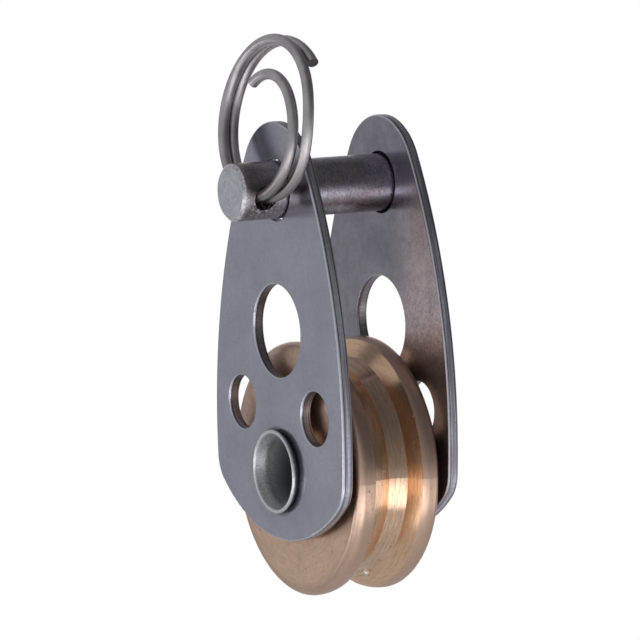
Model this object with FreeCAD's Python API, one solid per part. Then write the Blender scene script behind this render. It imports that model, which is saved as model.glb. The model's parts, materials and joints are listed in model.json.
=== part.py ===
import FreeCAD
import Part
import math
import os

# Single pulley block: two cheek plates, a brass sheave on a hollow riveted axle,
# and a clevis pin across the head that is kept in by a split ring.
# Millimetres. The origin is the centre of the sheave. Y runs along the axle and the pin,
# away from the split ring, X runs across the cheek plates and Z points up to the pin.

# Cheek plates
PLATE_GAP = 12.0               # clear distance between the two plates
PLATE_THICKNESS = 1.25
PLATE_SIDE_OVERHANG = 0.25     # of the plate's widest place outside the sheave's rim
PLATE_WIDEST_HEIGHT = 4.2      # of the widest place above the axle
PLATE_NOSE_RADIUS = 7.45       # round the head pin
PLATE_BELLY_RADIUS = 19.0      # of the bottom edge
PLATE_BOTTOM_DEPTH = 7.65      # lowest point of the plate below the axle
PLATE_CORNER_RADIUS = 4.0      # between the flank and the bottom edge
PLATE_EDGE_ROUND = 0.25        # rolled outline edge
HOLE_EDGE_ROUND = 0.2

# Holes in the plates
WINDOW_RADIUS = 5.15
WINDOW_HEIGHT = 15.55          # of the window's centre above the axle
SIDE_HOLE_RADIUS = 3.0
SIDE_HOLE_OFFSET = 8.1         # to either side of the axle
SIDE_HOLE_HEIGHT = 6.75
PIN_HEIGHT = 31.1              # of the head pin above the axle
PIN_HOLE_CLEARANCE = 0.225     # radial

# Hollow axle, flared over both plates like an eyelet
AXLE_RADIUS = 4.0
AXLE_WALL = 0.45
FLARE_BEND_RADIUS = 0.6        # of the tube's outer skin, and of the plate's edge under it
FLARE_ANGLE = 35.0             # degrees between the tube and its flared lip
FLARE_RUN = 0.85               # straight length of the lip, which stands off the plate

# Distance sleeve that the plates are riveted against and the sheave turns on
SLEEVE_RADIUS = 5.5
SLEEVE_BORE_CLEARANCE = 0.04   # radial, round the axle

# Sheave
SHEAVE_RADIUS = 14.05          # at the crest of the rim
SHEAVE_WIDTH = 10.4
SHEAVE_RUNNING_CLEARANCE = 0.05
SHEAVE_SIDE_CLEARANCE = 0.15   # hub face to plate
HUB_RADIUS = 6.9
HUB_EDGE_BREAK = 0.25
BORE_EDGE_BREAK = 0.3
RIM_CREST_OFFSET = 4.2         # of the crest from the middle
RIM_SIDE_DROP = 0.95           # from the crest down to the flat side
GROOVE_HALF_WIDTH = 2.95       # at the rim's sharp inner edge
GROOVE_LIP_DROP = 0.25         # from the crest down to that edge
GROOVE_DEPTH = 2.5             # from the crest to the groove's bottom
GROOVE_FLOOR_HALF_WIDTH = 2.0
GROOVE_FLOOR_RISE = 0.55       # of the shallow V of the floor, from its middle to its edges

# Clevis pin
PIN_RADIUS = 3.175
PIN_STICK_OUT = 5.5            # beyond the front plate
PIN_END_CHAMFER = 0.35
PIN_HEAD_RADIUS = 4.7
PIN_HEAD_THICKNESS = 1.6
PIN_HEAD_ROUND = 0.4
PIN_HEAD_PLAY = 0.1            # between the head and the rear plate
CROSS_HOLE_RADIUS = 1.35
CROSS_HOLE_FROM_END = 2.75

# Split ring through the cross hole
WIRE_RADIUS = 0.6
RING_RADIUS = 8.6              # of the middle of the wire
RING_STRAND_GAP = 0.05         # between strands that lie side by side
RING_DROP = 0.33               # of the wire below the middle of the cross hole
RING_LEAN_ANGLE = 11.0         # degrees sideways
RING_TILT_ANGLE = 10.8         # degrees back, over the front plate's nose
INNER_LOOP_RADIUS = 7.0
INNER_LOOP_TILT_ANGLE = 3.9    # degrees further off the front plate than the coil

# Places along the split ring, in degrees round the coil from the cross hole's direction
OUTER_END_ANGLE = 63.8
OUTER_TAIL_START_ANGLE = 100.0
OUTER_TAIL_RADIUS = 10.2
CROSSING_START_ANGLE = 308.0
CROSSING_END_ANGLE = 392.0
INNER_LOOP_START_ANGLE = 638.0
INNER_TAIL_START_ANGLE = 768.0
INNER_TAIL_RADIUS = 5.4
INNER_END_ANGLE = 860.0

# Worked out from the sizes above
PLATE_HALF_WIDTH = SHEAVE_RADIUS + PLATE_SIDE_OVERHANG
PLATE_INNER_FACE = PLATE_GAP / 2
PLATE_OUTER_FACE = PLATE_INNER_FACE + PLATE_THICKNESS
PIN_END = -(PLATE_OUTER_FACE + PIN_STICK_OUT)
CROSS_HOLE_Y = PIN_END + CROSS_HOLE_FROM_END
STRAND_OFFSET = WIRE_RADIUS + RING_STRAND_GAP / 2
Y_AXIS = FreeCAD.Vector(0, 1, 0)


def cylinder_along_y(radius, start, length, x=0.0, z=0.0):
    return Part.makeCylinder(radius, length, FreeCAD.Vector(x, start, z), Y_AXIS)


def turned(edges):
    """A solid of revolution about the axle from edges drawn in the radius and Y plane."""
    profile = Part.Face(Part.Wire(edges))
    return profile.revolve(FreeCAD.Vector(0, 0, 0), Y_AXIS, 360)


def at(radius, y):
    return FreeCAD.Vector(radius, y, 0)


def line(start, end):
    return Part.makeLine(start, end)


def arc(start, middle, end):
    return Part.Arc(start, middle, end).toShape()


def plate_outline(y):
    """Nose arc, two flank arcs tangent to it and the belly arc, as a closed wire at Y."""
    rise = PIN_HEIGHT - PLATE_WIDEST_HEIGHT
    flank_radius = (PLATE_HALF_WIDTH ** 2 + rise ** 2 - PLATE_NOSE_RADIUS ** 2)
    flank_radius /= 2 * (PLATE_HALF_WIDTH - PLATE_NOSE_RADIUS)
    flank_centre = PLATE_HALF_WIDTH - flank_radius
    nose_angle = math.atan2(rise, -flank_centre)
    nose = FreeCAD.Vector(PLATE_NOSE_RADIUS * math.cos(nose_angle), y,
                          PIN_HEIGHT + PLATE_NOSE_RADIUS * math.sin(nose_angle))
    crown = FreeCAD.Vector(0, y, PIN_HEIGHT + PLATE_NOSE_RADIUS)

    belly_centre = PLATE_BELLY_RADIUS - PLATE_BOTTOM_DEPTH
    between = math.hypot(flank_centre, belly_centre - PLATE_WIDEST_HEIGHT)
    towards = math.atan2(belly_centre - PLATE_WIDEST_HEIGHT, -flank_centre)
    opening = (flank_radius ** 2 + between ** 2 - PLATE_BELLY_RADIUS ** 2) / (2 * flank_radius * between)
    corner_angle = towards - math.acos(opening)
    corner = FreeCAD.Vector(flank_centre + flank_radius * math.cos(corner_angle), y,
                            PLATE_WIDEST_HEIGHT + flank_radius * math.sin(corner_angle))
    waist = FreeCAD.Vector(PLATE_HALF_WIDTH, y, PLATE_WIDEST_HEIGHT)
    bottom = FreeCAD.Vector(0, y, -PLATE_BOTTOM_DEPTH)

    def other_side(point):
        return FreeCAD.Vector(-point.x, point.y, point.z)

    return Part.Wire([
        arc(other_side(nose), crown, nose),
        arc(nose, waist, corner),
        arc(corner, bottom, other_side(corner)),
        arc(other_side(corner), other_side(waist), other_side(nose)),
    ])


def edges_on_plane(shape, y):
    return [edge for edge in shape.Edges if abs(edge.BoundBox.YMin - y) < 1e-4
            and abs(edge.BoundBox.YMax - y) < 1e-4]


def cheek_plate(outer_side):
    """One cheek: outer_side is -1 for the front plate and +1 for the rear one."""
    inner_face = outer_side * PLATE_INNER_FACE
    outer_face = outer_side * PLATE_OUTER_FACE
    plate = Part.Face(plate_outline(inner_face)).extrude(Y_AXIS * (outer_face - inner_face))
    corners = [edge for edge in plate.Edges if edge.BoundBox.YLength > PLATE_THICKNESS / 2
               and edge.BoundBox.ZMax < PLATE_WIDEST_HEIGHT]
    plate = plate.makeFillet(PLATE_CORNER_RADIUS, corners)
    outline_edges = edges_on_plane(plate, inner_face) + edges_on_plane(plate, outer_face)
    plate = plate.makeFillet(PLATE_EDGE_ROUND, outline_edges)

    start = min(inner_face, outer_face)
    free_holes = [
        cylinder_along_y(WINDOW_RADIUS, start, PLATE_THICKNESS, 0, WINDOW_HEIGHT),
        cylinder_along_y(SIDE_HOLE_RADIUS, start, PLATE_THICKNESS, SIDE_HOLE_OFFSET, SIDE_HOLE_HEIGHT),
        cylinder_along_y(SIDE_HOLE_RADIUS, start, PLATE_THICKNESS, -SIDE_HOLE_OFFSET, SIDE_HOLE_HEIGHT),
        cylinder_along_y(PIN_RADIUS + PIN_HOLE_CLEARANCE, start, PLATE_THICKNESS, 0, PIN_HEIGHT),
    ]
    plate = plate.cut(free_holes)
    hole_edges = [edge for edge in edges_on_plane(plate, inner_face) + edges_on_plane(plate, outer_face)
                  if edge.isClosed()]
    plate = plate.makeFillet(HOLE_EDGE_ROUND, hole_edges)

    plate = plate.cut(cylinder_along_y(AXLE_RADIUS, start, PLATE_THICKNESS))
    axle_edge = [edge for edge in edges_on_plane(plate, outer_face)
                 if edge.isClosed() and abs(edge.Length - 2 * math.pi * AXLE_RADIUS) < 0.01]
    return plate.makeFillet(FLARE_BEND_RADIUS, axle_edge)


def hollow_axle():
    """Tube flared over both plates: each half is bent round the plate's rounded hole edge."""
    bend_y = PLATE_OUTER_FACE - FLARE_BEND_RADIUS
    bend_r = AXLE_RADIUS + FLARE_BEND_RADIUS
    bore = AXLE_RADIUS - AXLE_WALL
    turn = math.radians(FLARE_ANGLE)
    inner_bend = FLARE_BEND_RADIUS + AXLE_WALL

    def on_bend(radius, angle, side):
        return at(bend_r - radius * math.cos(angle), side * (bend_y + radius * math.sin(angle)))

    def along_lip(point, side):
        return point + at(FLARE_RUN * math.sin(turn), side * FLARE_RUN * math.cos(turn))

    def flared_half(side):
        """Edges from the bore's end, round the lip and back to the outer skin."""
        mouth = on_bend(inner_bend, 0, side)
        lip_inside = on_bend(inner_bend, turn, side)
        lip_outside = on_bend(FLARE_BEND_RADIUS, turn, side)
        skin = on_bend(FLARE_BEND_RADIUS, 0, side)
        lip_middle = (along_lip(lip_inside, side) + along_lip(lip_outside, side)) / 2
        tip = lip_middle + at(math.sin(turn), side * math.cos(turn)) * (AXLE_WALL / 2)
        return [
            arc(mouth, on_bend(inner_bend, turn / 2, side), lip_inside),
            line(lip_inside, along_lip(lip_inside, side)),
            arc(along_lip(lip_inside, side), tip, along_lip(lip_outside, side)),
            line(along_lip(lip_outside, side), lip_outside),
            arc(lip_outside, on_bend(FLARE_BEND_RADIUS, turn / 2, side), skin),
        ]

    bore_wall = line(at(bore, -bend_y), at(bore, bend_y))
    skin_wall = line(at(AXLE_RADIUS, -bend_y), at(AXLE_RADIUS, bend_y))
    return turned(Part.__sortEdges__([bore_wall, skin_wall] + flared_half(1) + flared_half(-1)))


def distance_sleeve():
    outside = cylinder_along_y(SLEEVE_RADIUS, -PLATE_INNER_FACE, PLATE_GAP)
    inside = cylinder_along_y(AXLE_RADIUS + SLEEVE_BORE_CLEARANCE, -PLATE_INNER_FACE, PLATE_GAP)
    return outside.cut(inside)


def sheave():
    """Grooved wheel turned from bar, with a hub face that runs close to each plate."""
    bore = SLEEVE_RADIUS + SHEAVE_RUNNING_CLEARANCE
    hub_face = PLATE_INNER_FACE - SHEAVE_SIDE_CLEARANCE
    side = SHEAVE_WIDTH / 2
    lip = SHEAVE_RADIUS - GROOVE_LIP_DROP
    floor = SHEAVE_RADIUS - GROOVE_DEPTH

    def down_from_crest(crest, foot):
        """Arc that leaves the rim's crest level and ends at foot."""
        span = foot - crest
        reach = span.dot(span) / (2 * span.y)
        return control_arc(crest, at(crest.x, crest.y + reach), foot)

    def half(sign):
        rim_side = at(SHEAVE_RADIUS - RIM_SIDE_DROP, sign * side)
        crest = at(SHEAVE_RADIUS, sign * RIM_CREST_OFFSET)
        rim_edge = at(lip, sign * GROOVE_HALF_WIDTH)
        flank_foot = at(floor + GROOVE_FLOOR_RISE, sign * GROOVE_FLOOR_HALF_WIDTH)
        corners = [
            at(bore, sign * (hub_face - BORE_EDGE_BREAK)),
            at(bore + BORE_EDGE_BREAK, sign * hub_face),
            at(HUB_RADIUS - HUB_EDGE_BREAK, sign * hub_face),
            at(HUB_RADIUS, sign * (hub_face - HUB_EDGE_BREAK)),
            at(HUB_RADIUS, sign * side),
            rim_side,
        ]
        turned_faces = [line(start, end) for start, end in zip(corners, corners[1:])]
        rim = [down_from_crest(crest, rim_side), down_from_crest(crest, rim_edge)]
        groove = [line(rim_edge, flank_foot), line(flank_foot, at(floor, 0))]
        return turned_faces + rim + groove, corners[0]

    left, left_bore = half(-1)
    right, right_bore = half(1)
    return turned(Part.__sortEdges__(left + right + [line(left_bore, right_bore)]))


def ring_frame():
    """Directions of the split ring: along the cross hole, up the ring, and off the front plate."""
    lean = math.radians(RING_LEAN_ANGLE)
    tilt = math.radians(RING_TILT_ANGLE)
    along = FreeCAD.Vector(math.cos(lean), 0, -math.sin(lean))
    upright = FreeCAD.Vector(math.sin(lean), 0, math.cos(lean))
    up = upright * math.cos(tilt) + Y_AXIS * math.sin(tilt)
    return along, up, along.cross(up)


def clevis_pin():
    """Headed pin with a chamfered end and a leaning cross hole for the ring."""
    head_face = PLATE_OUTER_FACE + PIN_HEAD_PLAY
    shank = cylinder_along_y(PIN_RADIUS, PIN_END, head_face - PIN_END, 0, PIN_HEIGHT)
    shank = shank.makeChamfer(PIN_END_CHAMFER, edges_on_plane(shank, PIN_END))
    head = cylinder_along_y(PIN_HEAD_RADIUS, head_face, PIN_HEAD_THICKNESS, 0, PIN_HEIGHT)
    head = head.makeFillet(PIN_HEAD_ROUND, edges_on_plane(head, head_face + PIN_HEAD_THICKNESS))
    along = ring_frame()[0]
    reach = 2 * PIN_RADIUS
    middle = FreeCAD.Vector(0, CROSS_HOLE_Y, PIN_HEIGHT)
    cross_hole = Part.makeCylinder(CROSS_HOLE_RADIUS, 2 * reach, middle - along * reach, along)
    return shank.fuse(head).removeSplitter().cut(cross_hole)


def control_arc(start, corner, end):
    """Arc from start to end whose end tangents meet in corner, halfway between them."""
    weight = (end - start).Length / (2 * (corner - start).Length)
    middle = (start + corner * (2 * weight) + end) / (2 * (1 + weight))
    return arc(start, middle, end)


def double_arc(start, start_direction, end, end_direction):
    """Two arcs that leave start and reach end in the given directions and meet smoothly."""
    span = end - start
    both = start_direction + end_direction
    a = 2 * start_direction.dot(end_direction) - 2
    b = -2 * span.dot(both)
    c = span.dot(span)
    reach = (-b - math.sqrt(b * b - 4 * a * c)) / (2 * a)
    first_corner = start + start_direction * reach
    second_corner = end - end_direction * reach
    meeting = (first_corner + second_corner) / 2
    return [control_arc(start, first_corner, meeting), control_arc(meeting, second_corner, end)]


def split_ring_path():
    """Middle line of the wire in the ring's own frame: X along the cross hole, Y up the ring."""
    coil_centre = FreeCAD.Vector(0, RING_RADIUS - RING_DROP, 0)

    def direction(angle):
        return FreeCAD.Vector(math.cos(math.radians(angle)), math.sin(math.radians(angle)), 0)

    def on_circle(centre, radius, angle, z):
        return centre + direction(angle) * radius + FreeCAD.Vector(0, 0, z)

    def circle_arcs(centre, radius, start, end, z, pieces=2):
        step = (end - start) / pieces
        edges = []
        for number in range(pieces):
            angle = start + number * step
            edges.append(arc(on_circle(centre, radius, angle, z),
                             on_circle(centre, radius, angle + step / 2, z),
                             on_circle(centre, radius, angle + step, z)))
        return edges

    def tangent_centre(centre, radius, new_radius, angle):
        return centre + direction(angle) * (radius - new_radius)

    back = -STRAND_OFFSET
    front = STRAND_OFFSET
    tail_centre = tangent_centre(coil_centre, RING_RADIUS, OUTER_TAIL_RADIUS, OUTER_TAIL_START_ANGLE)
    path = circle_arcs(tail_centre, OUTER_TAIL_RADIUS, OUTER_END_ANGLE, OUTER_TAIL_START_ANGLE, back, 1)
    path += circle_arcs(coil_centre, RING_RADIUS, OUTER_TAIL_START_ANGLE, CROSSING_START_ANGLE, back, 3)
    path += double_arc(on_circle(coil_centre, RING_RADIUS, CROSSING_START_ANGLE, back),
                       direction(CROSSING_START_ANGLE + 90),
                       on_circle(coil_centre, RING_RADIUS, CROSSING_END_ANGLE, front),
                       direction(CROSSING_END_ANGLE + 90))
    path += circle_arcs(coil_centre, RING_RADIUS, CROSSING_END_ANGLE, INNER_LOOP_START_ANGLE, front, 3)

    loop_start = INNER_LOOP_START_ANGLE
    tail_start = INNER_TAIL_START_ANGLE
    loop_centre = tangent_centre(coil_centre, RING_RADIUS, INNER_LOOP_RADIUS, loop_start)
    end_centre = tangent_centre(loop_centre, INNER_LOOP_RADIUS, INNER_TAIL_RADIUS, tail_start)
    loop = circle_arcs(loop_centre, INNER_LOOP_RADIUS, loop_start, tail_start, front, 2)
    loop += circle_arcs(end_centre, INNER_TAIL_RADIUS, tail_start, INNER_END_ANGLE, front, 1)
    hinge_point = on_circle(coil_centre, RING_RADIUS, loop_start, front)
    hinge_line = direction(loop_start + 90)
    for edge in loop:
        edge.rotate(hinge_point, hinge_line, INNER_LOOP_TILT_ANGLE)
    return path + loop


def split_ring():
    path = Part.Wire(split_ring_path())
    first = path.Edges[0]
    start_direction = first.tangentAt(first.FirstParameter)
    circle = Part.Wire(Part.makeCircle(WIRE_RADIUS, first.valueAt(first.FirstParameter), start_direction))
    ring = path.makePipeShell([circle], True, False)
    along, up, off = ring_frame()
    placement = FreeCAD.Matrix(along.x, up.x, off.x, 0,
                               along.y, up.y, off.y, CROSS_HOLE_Y,
                               along.z, up.z, off.z, PIN_HEIGHT,
                               0, 0, 0, 1)
    return ring.transformed(placement)


def main():
    os.makedirs("parts", exist_ok=True)
    pieces = {
        "front_cheek_plate": cheek_plate(-1),
        "rear_cheek_plate": cheek_plate(1),
        "hollow_axle": hollow_axle(),
        "distance_sleeve": distance_sleeve(),
        "sheave": sheave(),
        "clevis_pin": clevis_pin(),
        "split_ring": split_ring(),
    }
    for name, shape in pieces.items():
        shape.exportStep("parts/" + name + ".step")


main()
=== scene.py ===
import json
import math
import random

import bmesh
import bpy
from mathutils import Matrix, Vector

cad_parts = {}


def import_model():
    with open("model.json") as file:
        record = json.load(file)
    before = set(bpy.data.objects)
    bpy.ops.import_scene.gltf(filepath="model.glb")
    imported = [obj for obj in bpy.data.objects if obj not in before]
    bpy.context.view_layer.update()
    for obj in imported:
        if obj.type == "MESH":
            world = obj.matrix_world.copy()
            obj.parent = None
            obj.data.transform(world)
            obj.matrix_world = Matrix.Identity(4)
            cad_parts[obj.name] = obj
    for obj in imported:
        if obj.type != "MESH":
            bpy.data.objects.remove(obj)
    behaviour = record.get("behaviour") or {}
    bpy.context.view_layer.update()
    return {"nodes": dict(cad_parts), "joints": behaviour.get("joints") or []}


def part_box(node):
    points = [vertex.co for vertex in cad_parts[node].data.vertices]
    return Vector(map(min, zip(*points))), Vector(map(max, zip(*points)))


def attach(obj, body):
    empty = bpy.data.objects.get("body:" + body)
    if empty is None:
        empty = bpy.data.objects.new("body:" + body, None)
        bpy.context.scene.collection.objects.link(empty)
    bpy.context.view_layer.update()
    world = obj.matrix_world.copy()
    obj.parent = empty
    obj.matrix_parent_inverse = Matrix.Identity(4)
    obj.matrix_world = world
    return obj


# Looks of a small single pulley block: two steel cheek plates, a brass sheave on a hollow
# riveted axle, and a clevis pin held by a split ring. Metres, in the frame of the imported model.
# Of a pair of places or distances, an effect starts at the first and is full at the second.

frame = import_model()

MM = 0.001

# Camera, from the photograph's circles and plate edges
CAMERA_AZIMUTH = math.radians(60.42)
CAMERA_ELEVATION = math.radians(7.411)
CAMERA_ROLL = math.radians(-0.924)
CAMERA_DISTANCE = 527.549 * MM
CAMERA_FOCAL_PIXELS = 4764.473
IMAGE_PIXELS = 640
AIM_RIGHT = -1.525 * MM
AIM_UP = 16.077 * MM
SENSOR_WIDTH = 36.0
CLIP_START = 10 * MM
CLIP_END = 50.0

# Studio
FLOOR_DROP = 250 * MM            # of the floor below the axle: the block hangs from its pin
FLOOR_HALF_SIZE = 6.0
FLOOR_PAINT = (0.8, 0.8, 0.8)
FLOOR_GLOW = 0.2
BACKDROP_DISTANCE = 900 * MM
BACKDROP_HALF_WIDTH = 300 * MM
BACKDROP_TOP = 300 * MM
BACKDROP_LIFT = 1 * MM           # of its foot above the floor
BACKDROP_GLOW = 1.0
WHITE = (1, 1, 1)
WORLD_SIDE = 0.44                # brightness of the walls
WORLD_TOP = 0.1                  # brightness of the dark ceiling
WORLD_TINT = (0.99, 1.0, 1.03)
DARK_TOP_AZIMUTH, DARK_TOP_ELEVATION = 60, 38
DARK_TOP_COSINES = (0.0, 0.75)   # of the angle to the ceiling's darkest place
LAMP_AIM_HEIGHT = 10 * MM
LAMP_DISTANCE = 330 * MM
LAMPS = (                        # name, azimuth and elevation in degrees, width, height, radiance
    ("key_card", -18, -29, 330 * MM, 150 * MM, 1.85),
    ("front_card", -72, -23, 260 * MM, 120 * MM, 1.45),
    ("left_card", -118, -13, 170 * MM, 60 * MM, 2.3),
    ("right_card", 46, -22, 290 * MM, 110 * MM, 0.85),
)


def joint(name):
    return next(item for item in frame["joints"] if item["name"] == name)


# Sizes and places that the frame gives
ALONG_Y = Vector((0, 1, 0))
AXLE_MIDDLE = Vector(joint("sheave_spin")["pos_m"])
PIN_MIDDLE = Vector(joint("pin_turn")["pos_m"])
CROSS_HOLE_MIDDLE = Vector(joint("ring_swing")["pos_m"])
CROSS_HOLE_AXIS = Vector(joint("ring_swing")["axis"]).normalized()
PIN_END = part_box("clevis_pin")[0].y
PLATE_MIDDLE = sum(corner.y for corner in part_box("rear_cheek_plate")) / 2
SHEAVE_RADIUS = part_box("sheave")[1].x

# Cheek plates, from the middle of a plate's thickness
PLATE_WALL = (0.52 * MM, 0.42 * MM)
ROUNDING_INNER = (0.50 * MM, 0.53 * MM)
ROUNDING_OUTER = (0.61 * MM, 0.60 * MM)
SHEAR_LINE_DEPTH = 0.36 * MM     # of the lines that the punch leaves near each face
SHEAR_LINE_HALF = 0.07 * MM

# Cheek plates, across them, up them and from the axes of their holes
# the pale roundings, part wear and part painted highlight, stay clear of the pin holes
PIN_HOLE_CLEAR = (4.2 * MM, 4.4 * MM)
WINDOW_SIDE = (9 * MM, 8 * MM)
WINDOW_FOOT = (9 * MM, 10 * MM)
WINDOW_HEAD = (28 * MM, 27 * MM)
# painted shade in a ring round the axle's lip
AXLE_LIP_SHADE = (5.1 * MM, 4.7 * MM)
AXLE_POLISH = (7 * MM, 5.4 * MM)

# Warm patch on the rear plate's inner face: stained in part and in part painted reflection, reaching up
# over the pin's mirrored highlight, with painted shade low down
INNER_FACE = (PLATE_MIDDLE + 0.3 * MM, PLATE_MIDDLE - 0.3 * MM)
WARM_PATCH_SIDE = (0, 4.5 * MM)
WARM_PATCH_RAGGED = 6 * MM
WARM_PATCH_LEAN = -0.12               # share of the height by which the patch's edge moves across
WARM_PATCH_TOP = (36 * MM, 29 * MM)
WARM_PATCH_GREYER_UP = (15 * MM, 24 * MM)
# painted shade low in the warm patch, where the sheave's shaded side is mirrored
WARM_PATCH_PAINTED_SHADE = (15 * MM, 10 * MM)

# Clevis pin, along it, and from the cross hole's axis and the pin's height
END_FACE = PIN_END + 0.02 * MM
PIN_TIP = (PIN_END + 0.9 * MM, PIN_END + 0.35 * MM)
PIN_OUTSIDE = (-7.0 * MM, -7.6 * MM)
BURNT = (2.9 * MM, 1.5 * MM)
BURNT_RAGGED = 2 * MM
CHIPS_BELOW = (PIN_MIDDLE.z + 0.4 * MM, PIN_MIDDLE.z - 0.8 * MM)

# Split ring: its outer end, with painted shade on its cut face, and the stretch near the pin that is darker
OUTER_WIRE_END = Vector((7.641, -6.417, 45.352)) * MM
OUTER_WIRE_DIRECTION = Vector((0.80, -0.08, -0.60)).normalized()
WIRE_END_REACH = 0.62 * MM
WIRE_END_SKIN = 0.02 * MM
DARKER_FROM_PIN = (13 * MM, 6 * MM)
DARKER_SIDE = (-1 * MM, 3 * MM)

# Hollow axle, outwards from the block's middle
LIP = (7.84 * MM, 7.98 * MM)
MOUTH_SHADE = (7.8 * MM, 6.9 * MM)
BORE = (7.2 * MM, 6.3 * MM)
BORE_SHADE = (6.6 * MM, 4.2 * MM)

# Sheave, sideways from its middle and from its axis, and the chip in its groove
GROOVE = (3.1 * MM, 2.9 * MM)
GROOVE_FLANK = (1.6 * MM, 2.4 * MM)
RIM = (SHEAVE_RADIUS - 1.45 * MM, SHEAVE_RADIUS - 1.05 * MM)
NICKED = (SHEAVE_RADIUS - 4.05 * MM, SHEAVE_RADIUS - 1.05 * MM)
PIP_MIDDLE = Vector((2.7, 1.98, -11.82)) * MM
PIP_UP = Vector((0.15, -0.7, -0.7)).normalized()
PIP_RADIUS = 0.42 * MM
PIP_STRETCH = 1.35
PIP_RAGGED = (0.85, 1.15)
PIP_PROFILE = (                  # share of the radius, and height
    (1.0, -0.25 * MM),
    (1.05, 0.05 * MM),
    (0.9, 0.24 * MM),
    (0.5, 0.34 * MM),
)
PIP_SIDES = 14
PIP_SEED = 7

# Sockets of the Mix node for colours
MIX_COLOURS = (6, 7)
MIX_RESULT = 2


def socket_input(tree, target, value):
    """Links a socket, or sets a plain value."""
    if isinstance(value, bpy.types.NodeSocket):
        tree.links.new(value, target)
    else:
        target.default_value = value


def add(tree, kind, inputs=None, output=0, **settings):
    """A node with its settings and inputs; returns one of its output sockets."""
    made = tree.nodes.new(kind)
    for name, value in settings.items():
        setattr(made, name, value)
    for key, value in (inputs or {}).items():
        socket_input(tree, made.inputs[key], value)
    return made.outputs[output]


def maths(tree, operation, first, second=0.0):
    return add(tree, "ShaderNodeMath", {0: first, 1: second}, operation=operation)


def product(tree, first, *others):
    for other in others:
        first = maths(tree, "MULTIPLY", first, other)
    return first


def total(tree, first, *others):
    for other in others:
        first = maths(tree, "ADD", first, other)
    return first


def vector_maths(tree, operation, first, second=(0, 0, 0), output="Vector"):
    return add(tree, "ShaderNodeVectorMath", {0: first, 1: second}, output, operation=operation)


def combine(tree, x, y, z):
    return add(tree, "ShaderNodeCombineXYZ", {0: x, 1: y, 2: z})


def split(tree, vector):
    made = tree.nodes.new("ShaderNodeSeparateXYZ")
    tree.links.new(vector, made.inputs[0])
    return tuple(made.outputs)


def place(tree):
    """Where each point of the surface is at rest, in the block's frame."""
    return add(tree, "ShaderNodeTexCoord", output="Object")


def stretched(tree, where, x=1.0, y=1.0, z=1.0):
    """The place scaled along each axis: a pattern on it is drawn out where the factor is under 1."""
    return vector_maths(tree, "MULTIPLY", where, (x, y, z))


def from_line(tree, where, point, direction):
    """Distance from the line through the point along the unit direction."""
    away = vector_maths(tree, "SUBTRACT", where, point)
    across = vector_maths(tree, "CROSS_PRODUCT", away, direction)
    return vector_maths(tree, "LENGTH", across, output="Value")


def lathe_place(tree, centre):
    """Distance from the Y axis through the centre, angle about it, and place along it."""
    where = place(tree)
    x, y, z = split(tree, where)
    angle = maths(tree, "ARCTAN2", maths(tree, "SUBTRACT", z, centre.z), x)
    return from_line(tree, where, centre, ALONG_Y), angle, y


def ramp(tree, value, span, levels=(0.0, 1.0)):
    """Goes from the first level to the second as the value goes through the span, and is level beyond."""
    return add(tree, "ShaderNodeMapRange",
               {0: value, 1: span[0], 2: span[1], 3: levels[0], 4: levels[1]})


def band(tree, value, middle, half_width):
    """1 at the middle of a narrow band of values, 0 outside it."""
    off = maths(tree, "ABSOLUTE", maths(tree, "SUBTRACT", value, middle))
    return ramp(tree, off, (half_width, half_width * 0.3))


def noise(tree, vector, per_mm, detail=2, roughness=0.5):
    """Noise of the given number of features in a millimetre, about 0.5 on average."""
    return add(tree, "ShaderNodeTexNoise",
               {"Vector": vector, "Scale": per_mm / MM, "Detail": detail, "Roughness": roughness})


def turning(tree, lathe, arc_mm, per_mm, detail=2, roughness=0.5):
    """Noise drawn out round the lathe's axis, where a radian counts as the arc."""
    radius, angle, y = lathe
    unrolled = combine(tree, y, radius, product(tree, angle, arc_mm * MM))
    return noise(tree, unrolled, per_mm, detail, roughness)


def spots(tree, vector, per_mm, radius, share):
    """Scattered round spots: 1 inside a spot and 0 outside. Share of the cells that have one."""
    cell = tree.nodes.new("ShaderNodeTexVoronoi")
    socket_input(tree, cell.inputs["Vector"], vector)
    cell.inputs["Scale"].default_value = per_mm / MM
    drawn = add(tree, "ShaderNodeSeparateColor", {0: cell.outputs["Color"]})
    chosen = maths(tree, "GREATER_THAN", drawn, 1 - share)
    return product(tree, chosen, ramp(tree, cell.outputs["Distance"], (radius, radius * 0.5)))


def mix_colour(tree, factor, first, second):
    made = tree.nodes.new("ShaderNodeMix")
    made.data_type = "RGBA"
    socket_input(tree, made.inputs["Factor"], factor)
    for index, value in zip(MIX_COLOURS, (first, second)):
        colour = value if isinstance(value, bpy.types.NodeSocket) else (*value, 1)
        socket_input(tree, made.inputs[index], colour)
    return made.outputs[MIX_RESULT]


def two_tone(tree, pattern, low, high, span=(0.35, 0.65)):
    """The low colour where the pattern is low, and the high one where it is high."""
    return mix_colour(tree, ramp(tree, pattern, span), low, high)


def lay(tree, colour, other, amount, strength=1.0):
    """Lays the other colour over by the amount, at most by the strength."""
    if strength < 1.0:
        amount = product(tree, amount, strength)
    return mix_colour(tree, amount, colour, other)


def shade(tree, colour, other, pattern, span, strength=1.0):
    """Lays the other colour over, up to the strength, as the pattern's value goes through the span."""
    return mix_colour(tree, ramp(tree, pattern, span, (0.0, strength)), colour, other)


def bumps(tree, *layers):
    """Bumps laid over each other, each a pattern of heights and its depth in millimetres."""
    inputs = {"Strength": 1.0}
    for height, depth_mm in layers:
        inputs.update({"Height": height, "Distance": depth_mm * MM})
        inputs["Normal"] = add(tree, "ShaderNodeBump", inputs)
    return inputs["Normal"]


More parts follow.
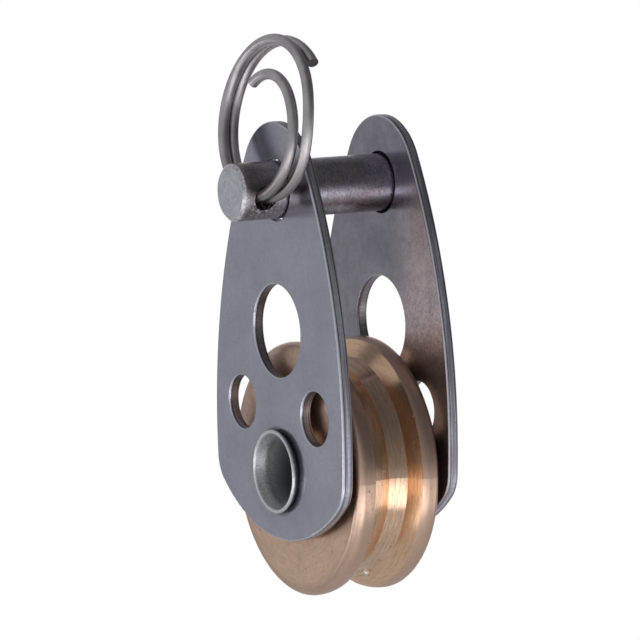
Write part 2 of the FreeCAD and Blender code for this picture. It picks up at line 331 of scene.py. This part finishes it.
def metal(name, build):
    """A fully metallic material. build gets the tree and returns colour, roughness and normal sockets."""
    material = bpy.data.materials.new(name)
    material.use_nodes = True
    tree = material.node_tree
    shader = tree.nodes["Principled BSDF"]
    shader.inputs["Metallic"].default_value = 1.0
    colour, roughness, normal = build(tree)
    socket_input(tree, shader.inputs["Base Color"], colour)
    socket_input(tree, shader.inputs["Roughness"], roughness)
    socket_input(tree, shader.inputs["Normal"], normal)
    return material


# Finish of the cheek plates
GRAIN_ROUGHER = 0.08
WALL_ROUGHER = 0.2
WARM_PATCH_ROUGHER = 0.2
AXLE_SMOOTHER = 0.1
SHEET_GREY = (0.465, 0.475, 0.565)
SHEET_PALE = (0.55, 0.565, 0.65)
SHEET_CLOUD = (0.36, 0.36, 0.44)
SHEET_GRAIN = (0.33, 0.33, 0.38)
SHEARED_GREY = (0.55, 0.55, 0.63)
SHEARED_PALE = (0.76, 0.76, 0.85)
SHEARED_DARK = (0.34, 0.33, 0.38)
WINDOW_DARK = (0.24, 0.22, 0.23)
WINDOW_GREY = (0.34, 0.33, 0.36)
# pale roundings: part wear, part painted highlight
ROUNDING_HIGHLIGHT_PALE = (0.66, 0.66, 0.74)
SHEAR_LINE = (0.13, 0.12, 0.14)
SHEET_PIT = (0.16, 0.15, 0.16)
# painted shade round the axle's lip
LIP_SHADE_DARK = (0.17, 0.17, 0.19)
INNER_DARK = (0.30, 0.29, 0.34)
INNER_GREY = (0.43, 0.41, 0.47)
INNER_MOTTLE = (0.22, 0.19, 0.22)
BEIGE_PALE = (0.95, 0.77, 0.70)
BEIGE_DULL = (0.62, 0.49, 0.48)
BEIGE_GREY = (0.52, 0.42, 0.40)
# painted shade, mirroring the sheave's shaded side
BEIGE_PAINTED_SHADE = (0.27, 0.21, 0.20)
CORRODED = (0.22, 0.16, 0.155)


def sheet_steel(tree, flat, least_roughness, warm_patch=0.0):
    """Finish that both cheek plates share: flat colour on the faces, sheared and duller edges, pale
    roundings that are part wear and part painted highlight, and painted shade round the axle's lip.
    """
    where = place(tree)
    x, y, z = split(tree, where)
    depth = maths(tree, "ABSOLUTE", maths(tree, "SUBTRACT", maths(tree, "ABSOLUTE", y), PLATE_MIDDLE))
    from_pin = from_line(tree, where, PIN_MIDDLE, ALONG_Y)
    from_axle = from_line(tree, where, AXLE_MIDDLE, ALONG_Y)
    grain = noise(tree, where, per_mm=6.0, detail=3, roughness=0.6)
    streaks = noise(tree, stretched(tree, where, y=0.15), per_mm=4.0, detail=3, roughness=0.7)
    rolled = noise(tree, stretched(tree, where, x=0.04, z=0.04), per_mm=3.4, roughness=0.6)
    hairlines = noise(tree, stretched(tree, where, x=0.25), per_mm=5.0)
    pits = spots(tree, where, per_mm=1.6, radius=0.13, share=0.16)

    wall = ramp(tree, depth, PLATE_WALL)
    shear_line = band(tree, depth, SHEAR_LINE_DEPTH, SHEAR_LINE_HALF)
    # pale roundings along the edges: part wear, part painted highlight
    rounding_wear_and_highlight = product(tree, ramp(tree, depth, ROUNDING_INNER), ramp(tree, depth, ROUNDING_OUTER),
                         ramp(tree, from_pin, PIN_HOLE_CLEAR))
    in_window = product(tree, ramp(tree, maths(tree, "ABSOLUTE", x), WINDOW_SIDE),
                        ramp(tree, z, WINDOW_FOOT), ramp(tree, z, WINDOW_HEAD))
    # painted shade in a ring round the axle's lip, broken up by the grain
    lip_shade = product(tree, ramp(tree, from_axle, AXLE_LIP_SHADE), ramp(tree, grain, (0.3, 0.5), (0.6, 1.0)))

    outer_wall = two_tone(tree, streaks, SHEARED_GREY, SHEARED_PALE, span=(0.3, 0.7))
    outer_wall = two_tone(tree, rolled, SHEARED_DARK, outer_wall, span=(0.42, 0.62))
    window_wall = two_tone(tree, streaks, WINDOW_DARK, WINDOW_GREY)
    colour = shade(tree, flat, SHEET_GRAIN, grain, span=(0.4, 0.75), strength=0.35)
    colour = lay(tree, colour, lay(tree, outer_wall, window_wall, in_window), wall)
    # part wear, part painted highlight on the roundings
    colour = lay(tree, colour, ROUNDING_HIGHLIGHT_PALE, rounding_wear_and_highlight)
    colour = lay(tree, colour, SHEAR_LINE, shear_line)
    colour = lay(tree, colour, SHEET_PIT, pits)
    # painted shade round the axle's lip
    colour = lay(tree, colour, LIP_SHADE_DARK, lip_shade)

    face_roughness = (least_roughness, least_roughness + GRAIN_ROUGHER)
    roughness = total(tree, ramp(tree, grain, (0.3, 0.7), face_roughness),
                      product(tree, maths(tree, "MAXIMUM", wall, rounding_wear_and_highlight), WALL_ROUGHER),
                      ramp(tree, from_axle, AXLE_POLISH, (0.0, -AXLE_SMOOTHER)),
                      product(tree, warm_patch, WARM_PATCH_ROUGHER))

    normal = bumps(tree, (hairlines, 0.0015), (product(tree, streaks, wall), 0.01), (pits, -0.01))
    return colour, roughness, normal


def front_cheek(tree):
    """Tumbled stainless sheet: cool grey, satin, with faint clouds."""
    where = place(tree)
    clouds = noise(tree, where, per_mm=0.14, detail=4, roughness=0.6)
    mottle = noise(tree, where, per_mm=1.4, detail=4, roughness=0.75)
    flat = two_tone(tree, clouds, SHEET_GREY, SHEET_PALE)
    flat = shade(tree, flat, SHEET_CLOUD, mottle, span=(0.4, 0.7), strength=0.3)
    return sheet_steel(tree, flat, least_roughness=0.2)


def rear_cheek(tree):
    """The same sheet, with a darker mauve grey inner face and a warm pitted patch down one side, stained in
    part and in part painted reflection, with painted shade low down.
    """
    where = place(tree)
    x, y, z = split(tree, where)
    clouds = noise(tree, where, per_mm=0.25, detail=4, roughness=0.65)
    mottle = noise(tree, where, per_mm=1.1, detail=4, roughness=0.7)
    speckle = noise(tree, where, per_mm=3.2, detail=3, roughness=0.8)
    corrosion = spots(tree, where, per_mm=1.7, radius=0.26, share=0.25)

    inside = ramp(tree, y, INNER_FACE)
    ragged_x = total(tree, x, product(tree, maths(tree, "SUBTRACT", mottle, 0.5), WARM_PATCH_RAGGED),
                     product(tree, z, WARM_PATCH_LEAN))
    # warm patch: stained in part, in part painted reflection that reaches up over the pin's mirrored
    # highlight
    warm = product(tree, ramp(tree, ragged_x, WARM_PATCH_SIDE), ramp(tree, z, WARM_PATCH_TOP),
                   ramp(tree, clouds, (0.3, 0.6), (0.7, 1.0)), inside)

    beige = two_tone(tree, speckle, BEIGE_PALE, BEIGE_DULL, span=(0.44, 0.6))
    # greyer towards the top
    beige = shade(tree, beige, BEIGE_GREY, z, WARM_PATCH_GREYER_UP, strength=0.6)
    # painted shade low down, where the plate mirrors the sheave's shaded side
    beige = shade(tree, beige, BEIGE_PAINTED_SHADE, z, WARM_PATCH_PAINTED_SHADE, strength=0.85)
    outer_face = two_tone(tree, clouds, SHEET_GREY, SHEET_PALE)
    inner_face = two_tone(tree, clouds, INNER_DARK, INNER_GREY)
    flat = lay(tree, outer_face, inner_face, inside)
    flat = lay(tree, flat, beige, warm)
    flat = lay(tree, flat, CORRODED, product(tree, warm, corrosion), strength=0.8)
    flat = shade(tree, flat, INNER_MOTTLE, mottle, span=(0.42, 0.7), strength=0.4)
    return sheet_steel(tree, flat, least_roughness=0.14, warm_patch=warm)


# Finish of the clevis pin
SHANK_ROUGHNESS = (0.25, 0.36)
TIP_ROUGHER = 0.1
SHANK_DARK = (0.37, 0.355, 0.42)
SHANK_PALE = (0.50, 0.475, 0.55)
BROWNED_DARK = (0.34, 0.285, 0.28)
BROWNED_PALE = (0.50, 0.44, 0.44)
BURNT_DARK = (0.24, 0.185, 0.175)
SHANK_LINE = (0.27, 0.25, 0.28)
SHANK_GRAIN = (0.2, 0.175, 0.21)
SHANK_PIT = (0.1, 0.09, 0.1)
CHIP_BRIGHT = (0.9, 0.86, 0.86)
# pale worn tip with a painted highlight
TIP_WEAR_AND_HIGHLIGHT = (0.78, 0.78, 0.83)
END_GREY = (0.46, 0.47, 0.52)
END_PALE = (0.66, 0.67, 0.72)
END_BRIGHT = (0.8, 0.81, 0.86)


def pin_steel(tree):
    """Turned pin: dark shank, browned outside the plate and burnt at the cross hole; lighter end face, and
    a pale worn tip with a painted highlight.
    """
    where = place(tree)
    height = split(tree, where)[2]
    radius, angle, y = lathe_place(tree, PIN_MIDDLE)
    lines = noise(tree, combine(tree, y, product(tree, angle, 0.4 * MM), 0.0),
                  per_mm=5.0, detail=3, roughness=0.7)
    marks = noise(tree, combine(tree, radius, product(tree, angle, 0.3 * MM), 0.0),
                  per_mm=4.5, detail=3, roughness=0.7)
    blotches = noise(tree, where, per_mm=0.8, detail=4, roughness=0.65)
    grain = noise(tree, where, per_mm=3.6, detail=3, roughness=0.75)
    flecks = noise(tree, where, per_mm=3.4, roughness=0.6)
    pits = spots(tree, where, per_mm=2.2, radius=0.15, share=0.3)

    end_face = maths(tree, "LESS_THAN", y, END_FACE)
    tip = ramp(tree, y, PIN_TIP)
    outside = ramp(tree, y, PIN_OUTSIDE)
    from_hole = from_line(tree, where, CROSS_HOLE_MIDDLE, CROSS_HOLE_AXIS)
    ragged = product(tree, maths(tree, "SUBTRACT", blotches, 0.5), BURNT_RAGGED)
    burnt = ramp(tree, total(tree, from_hole, ragged), BURNT)
    chips = product(tree, ramp(tree, flecks, (0.55, 0.62)), burnt, outside, ramp(tree, height, CHIPS_BELOW))

    shank = two_tone(tree, blotches, SHANK_DARK, SHANK_PALE)
    shank = lay(tree, shank, two_tone(tree, blotches, BROWNED_DARK, BROWNED_PALE), outside)
    shank = lay(tree, shank, BURNT_DARK, burnt, strength=0.8)
    shank = shade(tree, shank, SHANK_LINE, lines, span=(0.45, 0.75))
    shank = shade(tree, shank, SHANK_GRAIN, grain, span=(0.48, 0.66), strength=0.8)
    shank = lay(tree, shank, SHANK_PIT, pits)
    shank = lay(tree, shank, CHIP_BRIGHT, chips)
    # pale worn tip with a painted highlight
    shank = lay(tree, shank, TIP_WEAR_AND_HIGHLIGHT, product(tree, tip, ramp(tree, grain, (0.35, 0.6))))
    face = two_tone(tree, marks, END_GREY, END_PALE)
    face = shade(tree, face, END_BRIGHT, blotches, span=(0.5, 0.7), strength=0.5)
    colour = lay(tree, shank, face, end_face)

    roughness = total(tree, ramp(tree, grain, (0.3, 0.7), SHANK_ROUGHNESS), product(tree, tip, TIP_ROUGHER))

    normal = bumps(tree, (lines, 0.004), (grain, 0.012), (product(tree, marks, end_face), 0.022),
                   (chips, 0.05), (pits, -0.01))
    return colour, roughness, normal


# Finish of the split ring
WIRE_ROUGHNESS = (0.34, 0.42)
WIRE_GREY = (0.48, 0.455, 0.47)
WIRE_PALE = (0.61, 0.58, 0.595)
WIRE_GRAIN = (0.36, 0.335, 0.35)
WIRE_DARK_NEAR_PIN = (0.33, 0.295, 0.30)
# painted shade on the cut face of the outer end
WIRE_CUT_SHADE = (0.12, 0.11, 0.115)


def ring_steel(tree):
    """Drawn wire: mauve grey with fine grain, darker towards the pin, and painted shade on the outer end's
    cut face.
    """
    where = place(tree)
    x = split(tree, where)[0]
    grain = noise(tree, where, per_mm=7.0, detail=3, roughness=0.6)
    blotches = noise(tree, where, per_mm=0.5, detail=3, roughness=0.6)

    from_pin = from_line(tree, where, PIN_MIDDLE, ALONG_Y)
    # darker near the pin, on its +X side
    dark_near_pin = product(tree, ramp(tree, from_pin, DARKER_FROM_PIN), ramp(tree, x, DARKER_SIDE),
                     ramp(tree, blotches, (0.3, 0.6), (0.8, 1.0)))
    from_end = vector_maths(tree, "DISTANCE", where, OUTER_WIRE_END, output="Value")
    along_end = vector_maths(tree, "DOT_PRODUCT", where, OUTER_WIRE_DIRECTION, output="Value")
    end_place = OUTER_WIRE_END.dot(OUTER_WIRE_DIRECTION)
    # painted shade on the cut face of the outer end
    cut = product(tree, maths(tree, "LESS_THAN", from_end, WIRE_END_REACH),
                  maths(tree, "GREATER_THAN", along_end, end_place - WIRE_END_SKIN))

    colour = two_tone(tree, blotches, WIRE_GREY, WIRE_PALE)
    colour = shade(tree, colour, WIRE_GRAIN, grain, span=(0.5, 0.8), strength=0.7)
    colour = lay(tree, colour, WIRE_DARK_NEAR_PIN, dark_near_pin)
    colour = lay(tree, colour, WIRE_CUT_SHADE, cut)
    return colour, ramp(tree, grain, (0.3, 0.7), WIRE_ROUGHNESS), bumps(tree, (grain, 0.0012))


# Finish of the hollow axle
MOUTH_ROUGHNESS = (0.42, 0.55)
BORE_ROUGHER = 0.2
LIP_SMOOTHER = 0.16
# burnished lip with a painted highlight; also painted glints in the mouth
LIP_HIGHLIGHT_PALE = (0.78, 0.79, 0.81)
MOUTH_DARK = (0.27, 0.28, 0.30)
MOUTH_PALE = (0.5, 0.51, 0.54)
# painted shade deeper in the mouth
MOUTH_PAINTED_SHADE = (0.22, 0.23, 0.245)
BORE_GREY = (0.44, 0.45, 0.47)
BORE_PALE = (0.66, 0.67, 0.69)
# painted shade deeper in the bore
BORE_PAINTED_SHADE = (0.2, 0.21, 0.225)


def axle_steel(tree):
    """Flared tube: burnished lip with a painted highlight, a grainy mouth with painted glints, and painted
    shade that darkens it into the bore.
    """
    where = place(tree)
    out = maths(tree, "ABSOLUTE", split(tree, where)[1])
    grain = noise(tree, where, per_mm=5.0, detail=3, roughness=0.7)
    sparkle = spots(tree, where, per_mm=4.0, radius=0.3, share=0.3)
    lip = product(tree, ramp(tree, out, LIP), ramp(tree, grain, (0.25, 0.6), (0.4, 1.0)))
    bore = ramp(tree, out, BORE)

    mouth = two_tone(tree, grain, MOUTH_DARK, MOUTH_PALE)
    # painted glints in the mouth
    mouth = lay(tree, mouth, LIP_HIGHLIGHT_PALE, sparkle)
    # painted shade deeper in the mouth
    mouth = shade(tree, mouth, MOUTH_PAINTED_SHADE, out, MOUTH_SHADE, strength=0.3)
    wall = two_tone(tree, grain, BORE_GREY, BORE_PALE)
    # painted shade deeper in the bore
    wall = shade(tree, wall, BORE_PAINTED_SHADE, out, BORE_SHADE)
    colour = lay(tree, mouth, wall, bore)
    # burnished lip with a painted highlight
    colour = lay(tree, colour, LIP_HIGHLIGHT_PALE, lip)

    roughness = total(tree, ramp(tree, grain, (0.3, 0.7), MOUTH_ROUGHNESS),
                      product(tree, bore, BORE_ROUGHER), product(tree, lip, -LIP_SMOOTHER))
    return colour, roughness, bumps(tree, (grain, 0.014))


# Finish of the distance sleeve
SLEEVE_ROUGHNESS = (0.18, 0.3)
SLEEVE_GREY = (0.4, 0.4, 0.42)
SLEEVE_PALE = (0.55, 0.55, 0.57)


def sleeve_steel(tree):
    """Ground sleeve, mostly hidden inside the sheave."""
    lines = turning(tree, lathe_place(tree, AXLE_MIDDLE), arc_mm=0.3, per_mm=6.0, detail=3)
    colour = lay(tree, SLEEVE_GREY, SLEEVE_PALE, lines)
    return colour, ramp(tree, lines, (0.3, 0.7), SLEEVE_ROUGHNESS), bumps(tree, (lines, 0.003))


# Finish of the sheave and of the chip in its groove
SIDE_ROUGHNESS = 0.36
GROOVE_ROUGHNESS = 0.2
RIM_SMOOTHER = 0.03
LINES_ROUGHER = 0.04             # and smoother between the lines
CHIP_ROUGHNESS = (0.4, 0.5)
BRASS_DULL = (0.70, 0.49, 0.36)
BRASS_PALE = (0.80, 0.57, 0.43)
BRASS_MOTTLE = (0.50, 0.33, 0.24)
GROOVE_PALE = (0.81, 0.56, 0.395)
GROOVE_DARK = (0.55, 0.375, 0.26)
# painted reflection of brass in brass on the groove's flanks
FLANK_REFLECTION_GOLD = (0.92, 0.61, 0.39)
BRASS_LINE = (0.54, 0.35, 0.23)
ARC_PALE = (0.92, 0.70, 0.54)
ARC_DARK = (0.30, 0.20, 0.14)
BRASS_PORE = (0.2, 0.13, 0.09)
BRASS_DING = (0.24, 0.15, 0.11)
RIM_PINK = (0.60, 0.415, 0.335)
BRASS_NICK = (0.22, 0.14, 0.105)
CHIP_DARK = (0.52, 0.46, 0.41)
CHIP_PALE = (0.80, 0.75, 0.68)


def sheave_brass(tree):
    """Turned brass: polished groove with lines round it, flanks painted brighter gold as a painted
    reflection, duller rims and flat sides with nicks.
    """
    where = place(tree)
    lathe = lathe_place(tree, AXLE_MIDDLE)
    radius = lathe[0]
    offset = maths(tree, "ABSOLUTE", lathe[2])
    fine = turning(tree, lathe, arc_mm=0.8, per_mm=6.5, detail=4, roughness=0.7)
    broad = turning(tree, lathe, arc_mm=2.0, per_mm=1.1)
    scratches = turning(tree, lathe, arc_mm=1.6, per_mm=3.2, detail=4, roughness=0.8)
    arcs = turning(tree, lathe, arc_mm=1.1, per_mm=5.2)
    clouds = noise(tree, where, per_mm=0.3, detail=3)
    mottle = noise(tree, where, per_mm=1.3, detail=4, roughness=0.7)
    ragged = noise(tree, where, per_mm=2.6, detail=3, roughness=0.75)
    scattered = noise(tree, where, per_mm=0.35)
    pores = spots(tree, where, per_mm=1.9, radius=0.16, share=0.22)
    dings = spots(tree, stretched(tree, where, y=2.2), per_mm=1.5, radius=0.15, share=0.1)

    groove = ramp(tree, offset, GROOVE)
    flank = product(tree, groove, ramp(tree, offset, GROOVE_FLANK))
    rim = product(tree, ramp(tree, radius, RIM), maths(tree, "SUBTRACT", 1.0, groove))
    marked = ramp(tree, groove, (0, 1), (0.25, 0.45))
    nicks = product(tree, ramp(tree, ragged, (0.65, 0.70)), ramp(tree, scattered, (0.45, 0.6)),
                    ramp(tree, radius, NICKED, (0.5, 1.0)), ramp(tree, groove, (0, 1), (1.0, 0.3)))

    dull = two_tone(tree, clouds, BRASS_DULL, BRASS_PALE, span=(0.3, 0.7))
    dull = shade(tree, dull, BRASS_MOTTLE, mottle, span=(0.45, 0.75), strength=0.5)
    worn = two_tone(tree, scratches, GROOVE_PALE, GROOVE_DARK, span=(0.35, 0.75))
    colour = lay(tree, dull, worn, groove)
    # painted reflection of brass in brass on the groove's flanks
    colour = lay(tree, colour, FLANK_REFLECTION_GOLD, flank, strength=0.7)
    colour = shade(tree, colour, BRASS_LINE, fine, span=(0.5, 0.8))
    colour = lay(tree, colour, ARC_PALE, product(tree, marked, ramp(tree, arcs, (0.58, 0.68))))
    colour = lay(tree, colour, ARC_DARK, product(tree, marked, ramp(tree, arcs, (0.38, 0.3))))
    colour = lay(tree, colour, BRASS_PORE, pores)
    colour = lay(tree, colour, BRASS_DING, dings)
    colour = lay(tree, colour, RIM_PINK, rim, strength=0.6)
    colour = lay(tree, colour, BRASS_NICK, nicks, strength=0.8)

    roughness = total(tree, ramp(tree, groove, (0, 1), (SIDE_ROUGHNESS, GROOVE_ROUGHNESS)),
                      product(tree, rim, -RIM_SMOOTHER),
                      ramp(tree, fine, (0.3, 0.7), (-LINES_ROUGHER, LINES_ROUGHER)))

    normal = bumps(tree, (fine, 0.005), (broad, 0.008), (product(tree, scratches, groove), 0.007),
                   (pores, -0.015), (dings, -0.03), (nicks, -0.04))
    return colour, roughness, normal


def chip_metal(tree):
    """Pale, rough chip."""
    grain = noise(tree, place(tree), per_mm=5.0, detail=3, roughness=0.7)
    colour = two_tone(tree, grain, CHIP_DARK, CHIP_PALE)
    return colour, ramp(tree, grain, (0.3, 0.7), CHIP_ROUGHNESS), bumps(tree, (grain, 0.01))


FINISHES = {
    "front_cheek_plate": front_cheek,
    "rear_cheek_plate": rear_cheek,
    "hollow_axle": axle_steel,
    "distance_sleeve": sleeve_steel,
    "sheave": sheave_brass,
    "clevis_pin": pin_steel,
    "split_ring": ring_steel,
}


def dress():
    """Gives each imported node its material."""
    for name, build in FINISHES.items():
        material = metal(name + "_finish", build)
        for slot in frame["nodes"][name].material_slots:
            slot.material = material


def groove_pip():
    """Small raised chip low in the sheave's groove, with a ragged outline."""
    random.seed(PIP_SEED)
    across = ALONG_Y.cross(PIP_UP).normalized()
    along = PIP_UP.cross(across)
    mesh = bmesh.new()
    rings = []
    for share, height in PIP_PROFILE:
        ring = []
        for step in range(PIP_SIDES):
            turn = 2 * math.pi * step / PIP_SIDES
            reach = share * PIP_RADIUS * random.uniform(*PIP_RAGGED)
            outward = across * math.cos(turn) + along * (PIP_STRETCH * math.sin(turn))
            ring.append(mesh.verts.new(PIP_MIDDLE + outward * reach + PIP_UP * height))
        rings.append(ring)
    for low, high in zip(rings, rings[1:]):
        for step in range(PIP_SIDES):
            after = (step + 1) % PIP_SIDES
            mesh.faces.new((low[step], low[after], high[after], high[step]))
    mesh.faces.new(rings[0][::-1])
    mesh.faces.new(rings[-1])
    data = bpy.data.meshes.new("groove_pip")
    mesh.to_mesh(data)
    mesh.free()
    for face in data.polygons:
        face.use_smooth = True
    data.materials.append(metal("groove_pip_finish", chip_metal))
    made = bpy.data.objects.new("groove_pip", data)
    bpy.context.scene.collection.objects.link(made)
    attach(made, "sheave")


def stage_paint(name, glow, paint=None):
    """A material that glows white, over plain paint where its colour is given."""
    material = bpy.data.materials.new(name)
    material.use_nodes = True
    tree = material.node_tree
    tree.nodes.clear()
    surface = add(tree, "ShaderNodeEmission", {"Color": (*WHITE, 1), "Strength": glow})
    if paint is not None:
        diffuse = add(tree, "ShaderNodeBsdfDiffuse", {"Color": (*paint, 1)})
        surface = add(tree, "ShaderNodeAddShader", {0: diffuse, 1: surface})
    out = tree.nodes.new("ShaderNodeOutputMaterial")
    tree.links.new(surface, out.inputs["Surface"])
    return material


def stage_sheet(name, corners, material):
    mesh = bpy.data.meshes.new(name)
    mesh.from_pydata([tuple(corner) for corner in corners], [], [(0, 1, 2, 3)])
    mesh.materials.append(material)
    made = bpy.data.objects.new(name, mesh)
    bpy.context.scene.collection.objects.link(made)


def floor():
    """Plain pale floor, far below the block."""
    half = FLOOR_HALF_SIZE
    corners = [(-half, -half, -FLOOR_DROP), (half, -half, -FLOOR_DROP),
               (half, half, -FLOOR_DROP), (-half, half, -FLOOR_DROP)]
    stage_sheet("studio_floor", corners, stage_paint("floor_paint", FLOOR_GLOW, FLOOR_PAINT))


def backdrop():
    """White sheet behind the block, square to the camera's direction."""
    back = Vector((-math.sin(CAMERA_AZIMUTH), math.cos(CAMERA_AZIMUTH), 0))
    across = Vector((math.cos(CAMERA_AZIMUTH), math.sin(CAMERA_AZIMUTH), 0)) * BACKDROP_HALF_WIDTH
    middle = back * BACKDROP_DISTANCE
    low = Vector((0, 0, -FLOOR_DROP + BACKDROP_LIFT))
    high = Vector((0, 0, BACKDROP_TOP))
    corners = [middle - across + low, middle + across + low, middle + across + high, middle - across + high]
    stage_sheet("backdrop", corners, stage_paint("backdrop_white", BACKDROP_GLOW))


def towards(azimuth, elevation):
    """Direction at the given degrees from +X towards +Y, and above the level."""
    azimuth, elevation = math.radians(azimuth), math.radians(elevation)
    return Vector((math.cos(azimuth) * math.cos(elevation), math.sin(azimuth) * math.cos(elevation),
                   math.sin(elevation)))


def softbox(name, azimuth, elevation, width, height, radiance):
    """A rectangular lamp that faces the block."""
    light = bpy.data.lights.new(name, "AREA")
    light.shape = "RECTANGLE"
    light.size = width
    light.size_y = height
    light.energy = radiance * math.pi * width * height
    lamp = bpy.data.objects.new(name, light)
    away = towards(azimuth, elevation)
    lamp.location = Vector((0, 0, LAMP_AIM_HEIGHT)) + away * LAMP_DISTANCE
    lamp.rotation_mode = "QUATERNION"
    lamp.rotation_quaternion = away.to_track_quat("Z", "Y")
    lamp.visible_camera = False
    bpy.context.scene.collection.objects.link(lamp)


def lamps():
    for lamp in LAMPS:
        softbox(*lamp)


def world():
    """Pale walls that darken towards a dark ceiling."""
    made = bpy.data.worlds.new("studio")
    made.use_nodes = True
    tree = made.node_tree
    tree.nodes.clear()
    direction = add(tree, "ShaderNodeTexCoord", output="Generated")
    darkest = towards(DARK_TOP_AZIMUTH, DARK_TOP_ELEVATION)
    upward = vector_maths(tree, "DOT_PRODUCT", direction, darkest, output="Value")
    brightness = ramp(tree, upward, DARK_TOP_COSINES, (WORLD_SIDE, WORLD_TOP))
    tint = combine(tree, *(product(tree, brightness, share) for share in WORLD_TINT))
    background = add(tree, "ShaderNodeBackground", {"Color": tint, "Strength": 1.0})
    out = tree.nodes.new("ShaderNodeOutputWorld")
    tree.links.new(background, out.inputs["Surface"])
    bpy.context.scene.world = made


def camera():
    """A pinhole camera at the photograph's place."""
    sin_az, cos_az = math.sin(CAMERA_AZIMUTH), math.cos(CAMERA_AZIMUTH)
    sin_el, cos_el = math.sin(CAMERA_ELEVATION), math.cos(CAMERA_ELEVATION)
    back = Vector((sin_az * cos_el, -cos_az * cos_el, sin_el))
    level_right = Vector((cos_az, sin_az, 0))
    level_up = back.cross(level_right)
    sin_roll, cos_roll = math.sin(CAMERA_ROLL), math.cos(CAMERA_ROLL)
    right = level_right * cos_roll + level_up * sin_roll
    up = level_up * cos_roll - level_right * sin_roll
    aim = level_right * AIM_RIGHT + level_up * AIM_UP
    data = bpy.data.cameras.new("camera")
    data.sensor_width = SENSOR_WIDTH
    data.lens = CAMERA_FOCAL_PIXELS / IMAGE_PIXELS * SENSOR_WIDTH
    data.clip_start = CLIP_START
    data.clip_end = CLIP_END
    made = bpy.data.objects.new("camera", data)
    turn = Matrix((right, up, back)).transposed().to_4x4()
    made.matrix_world = Matrix.Translation(aim + back * CAMERA_DISTANCE) @ turn
    bpy.context.scene.collection.objects.link(made)
    bpy.context.scene.camera = made


bpy.context.scene.view_settings.view_transform = "Standard"
dress()
groove_pip()
floor()
backdrop()
world()
lamps()
camera()
